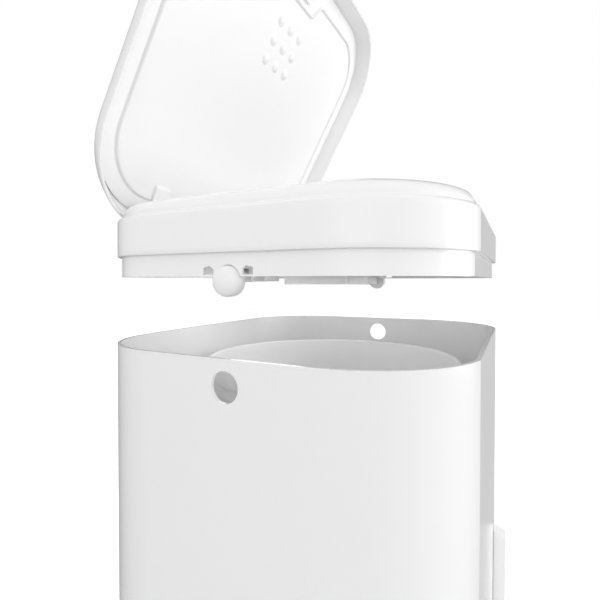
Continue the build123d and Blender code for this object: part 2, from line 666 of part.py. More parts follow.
ARMS = [(-75.5, -60.5), (60.5, 75.5)]
with BuildPart(LID) as lid_inner_panel:
    with BuildSketch(LID.offset(lid_z(PANEL_T))):
        lid_plan(8.9)
    extrude(amount=PANEL_THK)
    # Nine small domes, three by three, trimmed flush with the back of the panel.
    with GridLocations(15.4, 15.4, 3, 3):
        with Locations((0, -53.9 - HINGE_Y, lid_z(PANEL_T) + DOME_R - DOME_H)):
            Sphere(DOME_R)
    trim = lid_z(PANEL_T + PANEL_THK)
    span_box(-40, 40, -90 - HINGE_Y, -20 - HINGE_Y, trim, trim + 20, Mode.SUBTRACT)
    # Standoffs to the shell.
    for px, py in [(-90, -40), (90, -40), (-90, -180), (90, -180), (0, -110)]:
        post(px, py, lid_z(PANEL_T + 1), lid_z(LID_INNER_T), 5)
    # Hinge arms.
    for x0, x1 in ARMS:
        arm = Plane(LID.from_local_coords(Vector(x0, 0, 0)), x_dir=LID.y_dir, z_dir=(1, 0, 0))
        with BuildSketch(arm):
            with BuildLine():
                Polyline(
                    (-2.7, 0),
                    (-3.4, 2.6),
                    (-29, 3.2),
                    (-29, lid_z(PANEL_T + PANEL_THK)),
                    (-1.8, lid_z(PANEL_T + PANEL_THK)),
                    (2.2, 0.5),
                    (2.2, 0),
                    close=True,
                )
            make_face()
            Circle(2.7)
        extrude(amount=x1 - x0)
        bar_x(x0 - 1, x1 + 1, 0, 0, PIN_R + RUN, Mode.SUBTRACT)
    # Catch block in the front recess.
    span_box(-8, 8, -97.5 - HINGE_Y, -94.5 - HINGE_Y, lid_z(PANEL_T) - 2.2, lid_z(PANEL_T) + 0.5)
export(lid_inner_panel, "lid_inner_panel")

SEAL_IN = 20.0
SEAL_W = 2.4
NOTCH_X = 22.0
NOTCH_Y = -88.5
with BuildSketch() as seal_inside:
    lid_plan(SEAL_IN + SEAL_W)
    with Locations((0, NOTCH_Y + SEAL_W - HINGE_Y - 30)):
        Rectangle(2 * (NOTCH_X + SEAL_W), 60, mode=Mode.SUBTRACT)

with BuildPart() as lid_seal:
    with BuildSketch(LID.offset(lid_z(PANEL_T) - 1.5)):
        lid_plan(SEAL_IN)
        with Locations((0, NOTCH_Y - HINGE_Y - 30)):
            Rectangle(2 * NOTCH_X, 60, mode=Mode.SUBTRACT)
        add(seal_inside.sketch, mode=Mode.SUBTRACT)
    extrude(amount=1.5)
    for x0, x1 in ARMS:
        cut = Plane(LID.from_local_coords(Vector(x0 - 1, 0, 0)), x_dir=LID.y_dir, z_dir=(1, 0, 0))
        with BuildSketch(cut):
            with Locations((-15, 3)):
                Rectangle(32, 8)
        extrude(amount=x1 - x0 + 2, mode=Mode.SUBTRACT)
export(lid_seal, "lid_seal")

with BuildPart(LID) as lid_lever:
    lever = Plane(LID.from_local_coords(Vector(-84.2, 0, 0)), x_dir=LID.y_dir, z_dir=(1, 0, 0))
    nose = (-LEVER_L * cos(radians(LEVER_DOWN)), -LEVER_L * sin(radians(LEVER_DOWN)))
    with BuildSketch(lever):
        Circle(2.7)
        with Locations(nose):
            Circle(NOSE_R)
        with Locations((nose[0] / 2, nose[1] / 2)):
            Rectangle(LEVER_L, 2.6, rotation=LEVER_DOWN)
    extrude(amount=84.2 - 75.5)
    bar_x(-86, -74, 0, 0, PIN_R + RUN, Mode.SUBTRACT)
export(lid_lever, "lid_lever")

with BuildPart() as lid_hinge_pins:
    bar_x(-88.2, -56, HINGE_Y, hz(HINGE_R), PIN_R)
    bar_x(56, 88.2, HINGE_Y, hz(HINGE_R), PIN_R)
export(lid_hinge_pins, "lid_hinge_pins")
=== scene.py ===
"""Pedal trash can with its head lifted off and its lid open, dressed for rendering."""

import json
from math import acos, asin, atan2, cos, hypot, pi, radians, sin

import bmesh
import bpy
from mathutils import Matrix, Vector


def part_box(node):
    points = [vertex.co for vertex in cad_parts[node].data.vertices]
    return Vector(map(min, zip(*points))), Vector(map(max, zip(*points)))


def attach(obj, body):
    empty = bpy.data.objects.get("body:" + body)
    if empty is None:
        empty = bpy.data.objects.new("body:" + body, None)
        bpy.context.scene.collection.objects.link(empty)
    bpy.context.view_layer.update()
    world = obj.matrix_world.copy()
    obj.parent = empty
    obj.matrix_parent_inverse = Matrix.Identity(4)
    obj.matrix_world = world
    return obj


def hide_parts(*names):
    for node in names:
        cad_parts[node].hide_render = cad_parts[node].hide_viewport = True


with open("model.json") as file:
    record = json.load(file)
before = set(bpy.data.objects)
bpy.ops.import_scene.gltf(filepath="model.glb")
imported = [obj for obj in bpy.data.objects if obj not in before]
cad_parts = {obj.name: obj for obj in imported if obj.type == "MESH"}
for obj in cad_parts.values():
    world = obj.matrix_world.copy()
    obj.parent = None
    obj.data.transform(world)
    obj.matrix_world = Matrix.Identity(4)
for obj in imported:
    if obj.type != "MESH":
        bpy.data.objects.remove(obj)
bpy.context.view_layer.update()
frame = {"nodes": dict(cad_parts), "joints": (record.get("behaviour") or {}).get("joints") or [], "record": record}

bl_info = {
    "name": "Pedal trash can",
    "version": (1, 0, 0),
    "blender": (4, 5, 0),
    "location": "View3D > Sidebar > Trash can",
    "description": "Builds the can's visible pieces, finishes and studio round its packed parts",
    "category": "Object",
}

NODES = frame["nodes"]
JOINTS = {j["name"]: j for j in frame["joints"]}
HINGE = Vector(JOINTS["lid_hinge"]["pos_m"])
RIM_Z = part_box("body_shell")[1].z
HEAD_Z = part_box("head_shell")[0].z

# Sizes in millimetres. Heights of the head count from SEAT, the body's rim when the head is down on it,
# and those of the lid from its hinge line.
MM = 0.001
SEAT = HEAD_Z / MM - 0.3
MIDDLE = (0.0, -6.0)
THROAT_R = 84.0
BAY_X, BAY_DEPTH = 109.5, 24.2
LID_OPEN = radians(61.5)
LID_SIDE, LID_ENDS = 3.9, 2.4
LID_BACK_R, LID_FRONT_R, LID_SWEEP = 67.6, 60.2, radians(89)
RIM_T = 24.7 - 31.6
PANEL_T = 13.2
PANEL_MIDDLE = -53.9
CATCH_Y = -97.5, -94.5
BUTTON_Y, BUTTON_DROP = -4.0, 14.6
BUTTON_OUT = 4.5
EARS = [(-88.2, -84.5), (-60.2, -56.0), (56.0, 60.2), (84.5, 88.2)]
ARMS = [(-75.5, -60.5), (60.5, 75.5)]


# ------------------------------------------------------------------ settings
class CanFinish(bpy.types.PropertyGroup):
    """Colours and surface values of the can's plastics and metals."""

    white: bpy.props.FloatVectorProperty(
        name="White plastic",
        description="Colour of the glossy outer plastic",
        subtype="COLOR",
        size=3,
        default=(0.93, 0.93, 0.93),
    )
    inner_white: bpy.props.FloatVectorProperty(
        name="Inner plastic",
        description="Colour of the satin plastic inside",
        subtype="COLOR",
        size=3,
        default=(0.93, 0.93, 0.93),
    )
    gloss: bpy.props.FloatProperty(
        name="Outer roughness",
        description="Roughness of the glossy outer plastic",
        default=0.22,
        min=0.0,
        max=1.0,
    )
    satin: bpy.props.FloatProperty(
        name="Inner roughness",
        description="Roughness of the satin inner plastic",
        default=0.42,
        min=0.0,
        max=1.0,
    )


def length(name, text, default):
    """A length setting."""
    return bpy.props.FloatProperty(name=name, description=text, default=default, unit="LENGTH", precision=4)


class CanSize(bpy.types.PropertyGroup):
    """Plan and heights of the can that the made pieces follow."""

    half_width: length("Half width", "Half of the body's greatest width", 0.140)
    back: length("Back", "Distance from the middle to the back", 0.1142)
    front: length("Front", "Place of the flat front, negative towards the user", -0.1215)
    back_corner: length("Back corner", "Radius of the back corners", 0.0616)
    front_corner: length("Front corner", "Radius of the front corners", 0.068)
    side_lean: length("Side lean", "How far the sides come in towards the back", 0.0032)
    back_bow: length("Back bow", "How far the back bows out", 0.002)
    front_sweep: bpy.props.FloatProperty(
        name="Front sweep",
        description="Angle that each front corner turns before its crease",
        subtype="ANGLE",
        default=radians(80),
    )
    crown: length("Crown", "Height of the head's crown above the body rim when seated", 0.0334)


class CanStage(bpy.types.PropertyGroup):
    """Camera of the studio."""

    lens: bpy.props.FloatProperty(
        name="Lens",
        description="Focal length on a 36 mm sensor",
        default=26.5,
        min=10.0,
        unit="CAMERA",
    )
    eye: bpy.props.FloatVectorProperty(
        name="Camera position",
        description="Place of the camera in the can's frame",
        subtype="TRANSLATION",
        unit="LENGTH",
        size=3,
        default=(-0.3231, -0.1381, 0.6851),
    )
    heading: bpy.props.FloatProperty(
        name="Camera heading",
        description="Angle of the level view direction from the +X axis",
        subtype="ANGLE",
        default=radians(26.18),
    )


# ----------------------------------------------------------------- materials
def node(tree, kind, **sockets):
    """A shader node with its inputs set by name."""
    made = tree.nodes.new(kind)
    for name, value in sockets.items():
        made.inputs[name.replace("_", " ")].default_value = value
    return made


def skin_group():
    """Node group: the fine skin of moulded plastic, as a height, a tone and a gloss change."""
    old = bpy.data.node_groups.get("moulded skin")
    if old:
        return old
    group = bpy.data.node_groups.new("moulded skin", "ShaderNodeTree")
    face = group.interface
    for name, start in (("Grain Scale", 1800.0), ("Flow Scale", 9.0), ("Mottle", 0.02)):
        face.new_socket(name, in_out="INPUT", socket_type="NodeSocketFloat").default_value = start
    for name in ("Height", "Tone", "Gloss"):
        face.new_socket(name, in_out="OUTPUT", socket_type="NodeSocketFloat")
    entry = group.nodes.new("NodeGroupInput")
    leave = group.nodes.new("NodeGroupOutput")
    link = group.links.new
    place = group.nodes.new("ShaderNodeTexCoord")
    fine = node(group, "ShaderNodeTexNoise", Detail=3.0, Roughness=0.55)
    link(place.outputs["Object"], fine.inputs["Vector"])
    link(entry.outputs["Grain Scale"], fine.inputs["Scale"])
    flow = node(group, "ShaderNodeTexNoise", Detail=4.0, Roughness=0.6, Distortion=0.4)
    link(place.outputs["Object"], flow.inputs["Vector"])
    link(entry.outputs["Flow Scale"], flow.inputs["Scale"])
    centre = node(group, "ShaderNodeMath")
    centre.operation = "SUBTRACT"
    centre.inputs[1].default_value = 0.5
    link(flow.outputs["Fac"], centre.inputs[0])
    spread = node(group, "ShaderNodeMath")
    spread.operation = "MULTIPLY"
    link(centre.outputs[0], spread.inputs[0])
    link(entry.outputs["Mottle"], spread.inputs[1])
    tone = node(group, "ShaderNodeMath")
    tone.operation = "ADD"
    tone.inputs[1].default_value = 1.0
    link(spread.outputs[0], tone.inputs[0])
    link(fine.outputs["Fac"], leave.inputs["Height"])
    link(tone.outputs[0], leave.inputs["Tone"])
    link(spread.outputs[0], leave.inputs["Gloss"])
    return group


def scuff_group():
    """Node group: sparse hairline scuffs, as a mask from 0 to 1."""
    old = bpy.data.node_groups.get("hairline scuffs")
    if old:
        return old
    group = bpy.data.node_groups.new("hairline scuffs", "ShaderNodeTree")
    face = group.interface
    for name, start in (("Scale", 14.0), ("Amount", 0.35)):
        face.new_socket(name, in_out="INPUT", socket_type="NodeSocketFloat").default_value = start
    face.new_socket("Mask", in_out="OUTPUT", socket_type="NodeSocketFloat")
    entry = group.nodes.new("NodeGroupInput")
    leave = group.nodes.new("NodeGroupOutput")
    link = group.links.new
    place = group.nodes.new("ShaderNodeTexCoord")
    streak = node(group, "ShaderNodeMapping")
    streak.inputs["Scale"].default_value = (1.0, 1.0, 14.0)
    streak.inputs["Rotation"].default_value = (0.5, 0.3, 0.2)
    link(place.outputs["Object"], streak.inputs["Vector"])
    lines = node(group, "ShaderNodeTexNoise", Detail=6.0, Roughness=0.7, Distortion=1.2)
    link(streak.outputs["Vector"], lines.inputs["Vector"])
    link(entry.outputs["Scale"], lines.inputs["Scale"])
    cut = node(group, "ShaderNodeMapRange")
    cut.inputs["From Min"].default_value = 0.62
    cut.inputs["From Max"].default_value = 0.8
    link(lines.outputs["Fac"], cut.inputs["Value"])
    most = node(group, "ShaderNodeMath")
    most.operation = "MULTIPLY"
    link(cut.outputs["Result"], most.inputs[0])
    link(entry.outputs["Amount"], most.inputs[1])
    link(most.outputs[0], leave.inputs["Mask"])
    return group


def finish(name, colour, rough, grain=(1800.0, 0.02), mottle=0.02, scuffs=0.3, metal=0.0, ior=1.5):
    """A procedural finish: base colour with slight mottle, grain bump and hairline scuffs."""
    old = bpy.data.materials.get(name)
    if old:
        return old
    mat = bpy.data.materials.new(name)
    mat.use_nodes = True
    tree = mat.node_tree
    shader = tree.nodes["Principled BSDF"]
    shader.inputs["Metallic"].default_value = metal
    shader.inputs["IOR"].default_value = ior
    skin = tree.nodes.new("ShaderNodeGroup")
    skin.node_tree = skin_group()
    skin.inputs["Grain Scale"].default_value = grain[0]
    skin.inputs["Mottle"].default_value = mottle
    scuff = tree.nodes.new("ShaderNodeGroup")
    scuff.node_tree = scuff_group()
    scuff.inputs["Amount"].default_value = scuffs
    link = tree.links.new
    tint = node(tree, "ShaderNodeVectorMath")
    tint.operation = "SCALE"
    tint.inputs[0].default_value = tuple(colour)
    link(skin.outputs["Tone"], tint.inputs["Scale"])
    link(tint.outputs[0], shader.inputs["Base Color"])
    rub = node(tree, "ShaderNodeMath")
    rub.operation = "MULTIPLY_ADD"
    rub.inputs[1].default_value = 0.14
    rub.inputs[2].default_value = rough
    link(scuff.outputs["Mask"], rub.inputs[0])
    even = node(tree, "ShaderNodeMath")
    even.operation = "MULTIPLY_ADD"
    even.inputs[1].default_value = 1.5
    link(skin.outputs["Gloss"], even.inputs[0])
    link(rub.outputs[0], even.inputs[2])
    link(even.outputs[0], shader.inputs["Roughness"])
    bump = node(tree, "ShaderNodeBump", Strength=grain[1], Distance=0.0004)
    link(skin.outputs["Height"], bump.inputs["Height"])
    link(bump.outputs["Normal"], shader.inputs["Normal"])
    return mat


def wear(obj, mat):
    """Put one material on the whole of an object."""
    obj.data.materials.clear()
    obj.data.materials.append(mat)


class CAN_OT_finishes(bpy.types.Operator):
    """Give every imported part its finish."""

    bl_idname = "can.finishes"
    bl_label = "Finishes"

    def execute(self, context):
        look = context.scene.can_finish
        white = finish("white gloss", look.white, look.gloss)
        inner = finish("white satin", look.inner_white, look.satin, grain=(1200.0, 0.06), scuffs=0.15)
        button = finish("button satin", look.white, 0.3, grain=(1500.0, 0.04))
        grey = finish("base grey", (0.5, 0.5, 0.5), 0.5, grain=(900.0, 0.15), mottle=0.06)
        foot = finish("foot rubber", (0.04, 0.04, 0.042), 0.7, grain=(700.0, 0.4), mottle=0.2)
        tread = finish("tread rubber", (0.6, 0.6, 0.6), 0.6, grain=(700.0, 0.4), mottle=0.1)
        seal = finish("seal rubber", (0.85, 0.85, 0.85), 0.55, grain=(900.0, 0.2), mottle=0.03)
        coat = finish("powder coat", (0.8, 0.8, 0.8), 0.35, grain=(2200.0, 0.2), mottle=0.03)
        zinc = finish("zinc plate", (0.6, 0.6, 0.62), 0.28, grain=(1500.0, 0.1), metal=1.0)
        by_slot = {
            "white_gloss": white,
            "white_inner": inner,
            "white_button": button,
            "grey_base": grey,
            "foot_rubber": foot,
            "tread_rubber": tread,
            "soft_seal": seal,
            "pedal_steel": coat,
            "zinc": zinc,
        }
        for part in frame["record"]["subparts"]:
            wear(NODES[part["node"]], by_slot[part["material_slot"]])
        return {"FINISHED"}


# ------------------------------------------------------------- mesh building

def arc(centre, radius, start, end, count):
    """Points along an arc, its first point left out."""
    step = (end - start) / count
    turns = [start + step * (i + 1) for i in range(count)]
    return [(centre[0] + radius * cos(t), centre[1] + radius * sin(t)) for t in turns]


def run(a, b, count):
    """Points along a straight run, its first point left out."""
    return [(a[0] + (b[0] - a[0]) * i / count, a[1] + (b[1] - a[1]) * i / count) for i in range(1, count + 1)]


def mirrored(half):
    """Close a half outline, given from the back's middle to the front's, across x = 0."""
    return half + [(-x, y) for x, y in reversed(half[1:-1])]


def body_plan(inset):
    """Plan of the can moved inward: bowed back, sides that lean in, creased front corners."""
    size = bpy.context.scene.can_size
    w, b, f = size.half_width / MM, size.back / MM, size.front / MM
    rb, rf = size.back_corner / MM, size.front_corner / MM
    lean, bow = size.side_lean / MM, size.back_bow / MM
    fc = (w - rf, f + rf * sin(size.front_sweep))
    bc = (w - lean - rb, b - bow - rb)
    span = (fc[0] - bc[0], fc[1] - bc[1])
    side = atan2(span[1], span[0]) + acos((rb - rf) / hypot(*span))
    bow_r = (bc[0] ** 2 + (rb + bow) ** 2 - rb**2) / (2 * bow)
    bow_a = atan2(bc[1] - b + bow_r, bc[0])
    rb, rf = rb - inset, rf - inset
    sweep = asin((fc[1] - f - inset) / rf)
    half = [(0.0, b - inset)]
    half += arc((0, b - bow_r), bow_r - inset, pi / 2, bow_a, 12)
    half += arc(bc, rb, bow_a, side, 30)
    half += run(half[-1], (fc[0] + rf * cos(side), fc[1] + rf * sin(side)), 10)
    half += arc(fc, rf, side, -sweep, 30)
    half += run(half[-1], (0.0, f + inset), 12)
    return mirrored(half)


def lid_plan(inset):
    """Plan of the lid moved inward, its y measured from the hinge line."""
    size = bpy.context.scene.can_size
    w = size.half_width / MM + LID_SIDE - inset
    b = (size.back - HINGE.y) / MM + LID_ENDS - inset
    f = (size.front - HINGE.y) / MM - LID_ENDS + inset
    rb, rf = LID_BACK_R - inset, LID_FRONT_R - inset
    half = [(0.0, b)]
    half += run(half[-1], (w - rb, b), 12)
    half += arc((w - rb, b - rb), rb, pi / 2, 0, 30)
    low = f + rf * sin(LID_SWEEP)
    half += run(half[-1], (w, low), 10)
    half += arc((w - rf, low), rf, 0, -LID_SWEEP, 30)
    half += run(half[-1], (0.0, f), 12)
    return mirrored(half)


def shrunk(ring, share, centre):
    """A ring scaled towards a centre."""
    return [(centre[0] + (x - centre[0]) * share, centre[1] + (y - centre[1]) * share) for x, y in ring]


def round_ring(ring, radius, centre):
    """A circle with one point on the same bearing as each point of a ring."""
    bearings = [atan2(y - centre[1], x - centre[0]) for x, y in ring]
    return [(centre[0] + radius * cos(a), centre[1] + radius * sin(a)) for a in bearings]


def curved(points, steps):
    """Smooth (Catmull-Rom) run through a profile's points."""
    pads = [points[0]] + list(points) + [points[-1]]
    out = []
    for i in range(1, len(pads) - 2):
        p0, p1, p2, p3 = (Vector(p) for p in pads[i - 1 : i + 3])
        for k in range(steps):
            t = k / steps
            out.append(
                0.5
                * (
                    2 * p1
                    + (p2 - p0) * t
                    + (2 * p0 - 5 * p1 + 4 * p2 - p3) * t * t
                    + (3 * p1 - p0 - 3 * p2 + p3) * t**3
                )
            )
    return [tuple(p) for p in out] + [tuple(points[-1])]


def skin(name, rings, closed=False, caps=False):
    """Mesh object skinned over rings of equal count, in millimetres."""
    form = bmesh.new()
    rows = [[form.verts.new(Vector(p) * MM) for p in ring] for ring in rings]
    count = len(rows[0])
    pairs = list(zip(rows, rows[1:])) + ([(rows[-1], rows[0])] if closed else [])
    for low, high in pairs:
        for i in range(count):
            j = (i + 1) % count
            form.faces.new((low[i], low[j], high[j], high[i]))
    if caps:
        form.faces.new(rows[0])
        form.faces.new(rows[-1])
    return settle(name, form)


def settle(name, form):
    """Turn a bmesh into a scene object with outward normals."""
    bmesh.ops.remove_doubles(form, verts=form.verts, dist=1e-7)
    bmesh.ops.recalc_face_normals(form, faces=form.faces)
    mesh = bpy.data.meshes.new(name)
    form.to_mesh(mesh)
    form.free()
    obj = bpy.data.objects.new(name, mesh)
    bpy.context.scene.collection.objects.link(obj)
    return obj


def level(ring, z):
    """Plan ring lifted to a height."""
    return [(x, y, z) for x, y in ring]


def block(name, x, y, z):
    """Box cutter or rib between limits, each a (low, high) pair in millimetres."""
    ring = [(x[0], y[0]), (x[1], y[0]), (x[1], y[1]), (x[0], y[1])]
    return skin(name, [level(ring, z[0]), level(ring, z[1])], caps=True)


def prism_x(name, outline, x0, x1):
    """Prism along X from a (y, z) outline."""
    return skin(name, [[(x, y, z) for y, z in outline] for x in (x0, x1)], caps=True)


def disc_outline(a, b, radius, count=48):
    """Circle in a plane, about the point (a, b)."""
    turns = [2 * pi * i / count for i in range(count)]
    return [(a + radius * cos(t), b + radius * sin(t)) for t in turns]


def bake(obj):
    """Apply an object's modifiers to its mesh."""
    state = bpy.context.evaluated_depsgraph_get()
    mesh = bpy.data.meshes.new_from_object(obj.evaluated_get(state))
    obj.modifiers.clear()
    old, obj.data = obj.data, mesh
    bpy.data.meshes.remove(old)
    mesh.name = obj.name


def combine(obj, tool, how="DIFFERENCE"):
    """Boolean an object with a tool mesh, which is used up."""
    change = obj.modifiers.new("combine", "BOOLEAN")
    change.object, change.operation, change.solver = tool, how, "EXACT"
    bpy.context.view_layer.update()
    bake(obj)
    bpy.data.objects.remove(tool)


def gather(obj, *others):
    """Join other meshes into an object."""
    form = bmesh.new()
    for each in (obj, *others):
        form.from_mesh(each.data)
    bmesh.ops.recalc_face_normals(form, faces=form.faces)
    form.to_mesh(obj.data)
    form.free()
    for each in others:
        bpy.data.objects.remove(each)


def soften(obj, width, limit=35.0, segments=2):
    """Round an object's hard edges by a width in millimetres."""
    edge = obj.modifiers.new("soft edges", "BEVEL")
    edge.width, edge.segments = width * MM, segments
    edge.limit_method, edge.angle_limit = "ANGLE", radians(limit)
    edge.use_clamp_overlap = True
    bpy.context.view_layer.update()
    bake(obj)


def shade(obj, limit=30.0, crease=None):
    """Smooth shading, kept crisp at hard edges and at the upright creases of the plan."""
    form = bmesh.new()
    form.from_mesh(obj.data)
    for face in form.faces:
        face.smooth = True
    for edge in form.edges:
        turn = edge.calc_face_angle(0.0)
        lone = len(edge.link_faces) != 2
        upright = abs((edge.verts[0].co - edge.verts[1].co).normalized().z) > 0.8
        edge.smooth = not (lone or turn > radians(limit) or (crease and upright and turn > radians(crease)))
    form.to_mesh(obj.data)
    form.free()


def place(obj, body, slot, mat, *nodes):
    """Dress a piece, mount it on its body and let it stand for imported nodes."""
    wear(obj, mat)
    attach(obj, body)
    if nodes:
        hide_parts(*nodes)
    return obj


# ------------------------------------------------------------------- pieces
def head_rings(levels):
    """Rings of the head from (height, inset) pairs."""
    return [level(body_plan(inset), SEAT + r) for r, inset in levels]


class CAN_OT_head(bpy.types.Operator):
    """Make the head's cover: flange, soft shoulder, rounded crown, recessed deck and hinge bay."""

    bl_idname = "can.head"
    bl_label = "Head cover"

    def execute(self, context):
        size = context.scene.can_size
        crown = size.crown / MM
        deck = crown - 4.6
        out = curved([(1.0, 0.0), (12.0, 0.0), (22.0, 0.02)], 3)
        out += curved([(22.8, 0.14), (23.5, 0.6), (23.95, 1.3), (24.35, 2.2), (24.9, 2.85), (25.8, 3.12)], 3)
        rise = crown - 24.2
        out += curved(
            [(24.2 + rise * a, d) for a, d in ((0.3, 3.3), (0.55, 4.4), (0.76, 6.2), (0.9, 8.7), (0.98, 11.4))], 4
        )
        out += curved(
            [(crown, 13.0), (crown - 0.1, 14.4), (crown - 0.9, 15.6), (deck + 0.7, 18.4), (deck, 19.4)], 4
        )
        rings = head_rings([(0.32, 0.5), (0.5, 0.15)] + out)
        ring = body_plan(19.4)
        hole = round_ring(ring, THROAT_R + 0.9, MIDDLE)
        for share in (0.35, 0.75):
            between = [[p + (q - p) * share for p, q in zip(a, b)] for a, b in zip(ring, hole)]
            rings.append(level(between, SEAT + deck))
        for drop, grow in ((0.0, 0.9), (0.25, 0.3), (0.8, 0.0), (2.2, 0.0)):
            rings.append(level(round_ring(ring, THROAT_R + grow, MIDDLE), SEAT + deck - drop))
        rings += head_rings([(deck - 2.2, 6.6), (deck - 3.4, 5.8), (21.9, 5.6), (21.9, 2.6), (0.32, 2.6)])
        cover = skin("head_cover", rings, closed=True)
        back = size.back / MM
        low = head_tray(back, 18.9, 21.9, 2.0)
        high = head_tray(back, 21.9, deck - 1.2, 5.0)
        for each, floor in ((cover, 20.9), (low, 20.9), (high, 20.0)):
            combine(each, block("bay", (-BAY_X, BAY_X), (back - BAY_DEPTH, back + 11), (SEAT + floor, SEAT + 50)))
        ears = [hinge_ear(x0, x1) for x0, x1 in EARS]
        gather(cover, low, high, *ears)
        shade(cover, crease=7)
        place(cover, "head", "white_gloss", mat_of("white gloss"), "head_shell")
        return {"FINISHED"}


def head_tray(back, low, high, inset):
    """Slab of the head that backs the hinge bay."""
    slab = skin("tray", head_rings([(low, inset), (high, inset)]), caps=True)
    wide, deep = BAY_X + 2, BAY_DEPTH + 2
    keep = block("keep", (-wide, wide), (back - deep, back + 20), (SEAT + low - 1, SEAT + high + 1))
    combine(slab, keep, "INTERSECT")
    return slab


def hinge_ear(x0, x1):
    """Ear that carries the lid's hinge pin, rounded over the pin."""
    y, z = HINGE.y / MM, HINGE.z / MM
    foot = SEAT + 20.4
    outline = [(y - 3.7, foot), (y - 3.7, z)]
    for i in range(15):
        a = pi - pi * i / 14
        outline.append((y - 0.55 + 3.15 * cos(a), z - 0.55 + 3.15 * sin(a)))
    outline.append((y + 2.6, foot))
    ear = prism_x("ear", outline, x0, x1)
    combine(ear, prism_x("bore", disc_outline(y, z, 1.53, 24), x0 - 1, x1 + 1))
    soften(ear, 0.3)
    return ear


def hinge_frame():
    """Frame of the open lid: hinge line at the origin, y to the lid's back, z out of its top."""
    c, s = cos(LID_OPEN), sin(LID_OPEN)
    turn = Matrix(((1, 0, 0), (0, c, s), (0, -s, c))).to_4x4()
    return Matrix.Translation(HINGE) @ turn


def lid_rings(levels):
    """Rings of the lid from (depth from its rim, inset) pairs."""
    return [level(lid_plan(inset), RIM_T + t) for t, inset in levels]


def crown_rings(ring, z, shares=(0.85, 0.6, 0.35, 0.0)):
    """Flat rings that close a ring over to a point in its middle."""
    centre = (0.0, sum(p[1] for p in ring) / len(ring))
    return [level(shrunk(ring, s, centre), z) for s in shares]


class CAN_OT_lid(bpy.types.Operator):
    """Make the lid's outer shell, with rolled lip, soft shoulder and hinge notches."""

    bl_idname = "can.lid"
    bl_label = "Lid shell"

    def execute(self, context):
        outer = [(0.0, 1.1), (0.12, 0.5), (0.5, 0.12), (1.2, 0.1)]
        outer += curved(
            [(1.2, 0.1), (8.4, 2.85), (13.6, 5.6), (16.2, 8.5), (17.8, 12.2), (18.7, 16.0), (19.0, 20.0)], 4
        )
        inner = curved([(16.6, 17.5), (15.9, 12.5), (14.4, 8.5), (9.0, 4.85), (1.4, 2.35)], 4)
        inner += [(0.5, 2.1), (0.1, 1.7)]
        rings = crown_rings(lid_plan(17.5), RIM_T + 16.6)[::-1] + lid_rings(inner)
        rings += lid_rings(outer) + crown_rings(lid_plan(20.0), RIM_T + 19.0)
        shell = skin("lid_cover", rings)
        for side in (-1, 1):
            x = sorted((side * 55.0, side * 89.4))
            combine(shell, block("notch", x, (0.2, 10.2), (-7.7, 4.9)))
        shade(shell)
        shell.data.transform(hinge_frame())
        place(shell, "lid", "white_gloss", mat_of("white gloss"), "lid_shell")
        return {"FINISHED"}


class CAN_OT_lining(bpy.types.Operator):
    """Make the lid's inner panel with its nine domes, hinge arms and catch, and the soft bead."""

    bl_idname = "can.lining"
    bl_label = "Lid lining"

    def execute(self, context):
        face = RIM_T + PANEL_T
        edge = [(1.2, 9.3), (0.9, 8.95), (0.5, 8.7), (0.12, 8.5), (0.0, 8.9), (0.0, 16.0)]
        rings = crown_rings(lid_plan(16.0), face + 1.2)[::-1]
        rings += [level(lid_plan(d), face + h) for h, d in edge] + crown_rings(lid_plan(16.0), face)
        panel = skin("lid_lining", rings)
        shade(panel, 60)
        hinge = HINGE.y / MM
        mid = PANEL_MIDDLE - hinge
        domes = [dome(x * 15.4, mid + y * 15.4, face) for x in (-1, 0, 1) for y in (-1, 0, 1)]
        arms = [hinge_arm(x0, x1, face) for x0, x1 in ARMS]
        catch = block("catch", (-8, 8), [y - hinge for y in CATCH_Y], (face - 2.2, face + 0.5))
        soften(catch, 0.8, segments=4)
        posts = []
        for x, y in ((-90, -40), (90, -40), (-90, -180), (90, -180), (0, -110)):
            ring = disc_outline(x, y, 5, 32)
            posts.append(skin("post", [level(ring, face + 1.0), level(ring, RIM_T + 16.6)], caps=True))
        for each in (*domes, *arms, catch, *posts):
            shade(each, 40)
        gather(panel, *domes, *arms, catch, *posts)
        panel.data.transform(hinge_frame())
        place(panel, "lid", "white_inner", mat_of("white satin"), "lid_inner_panel")
        bead = soft_bead(face)
        place(bead, "lid", "soft_seal", mat_of("seal rubber"), "lid_seal")
        return {"FINISHED"}


def dome(x, y, face):
    """Shallow dome with a filleted foot, standing off the panel's face."""
    profile = [(5.0, 0.0), (4.5, -0.06), (4.15, -0.25), (3.8, -0.62)]
    profile += [(3.2, -1.12), (2.4, -1.56), (1.4, -1.86), (0.5, -1.98)]
    return skin("dome", [level(disc_outline(x, y, r, 40), face + h) for r, h in profile], caps=True)


def hinge_arm(x0, x1, face):
    """Arm from the panel to the hinge pin."""
    back = face + 1.2
    outline = [(-3.4, 2.6), (-23, 4.2), (-26, back - 0.6), (-26, back), (-1.8, back), (2.2, 1.6)]
    for i in range(17):
        a = radians(35 - 215 * i / 16)
        outline.append((2.7 * cos(a), 2.7 * sin(a)))
    arm = prism_x("arm", outline, x0, x1)
    combine(arm, prism_x("bore", disc_outline(0, 0, 1.55, 24), x0 - 1, x1 + 1))
    soften(arm, 0.5)
    return arm


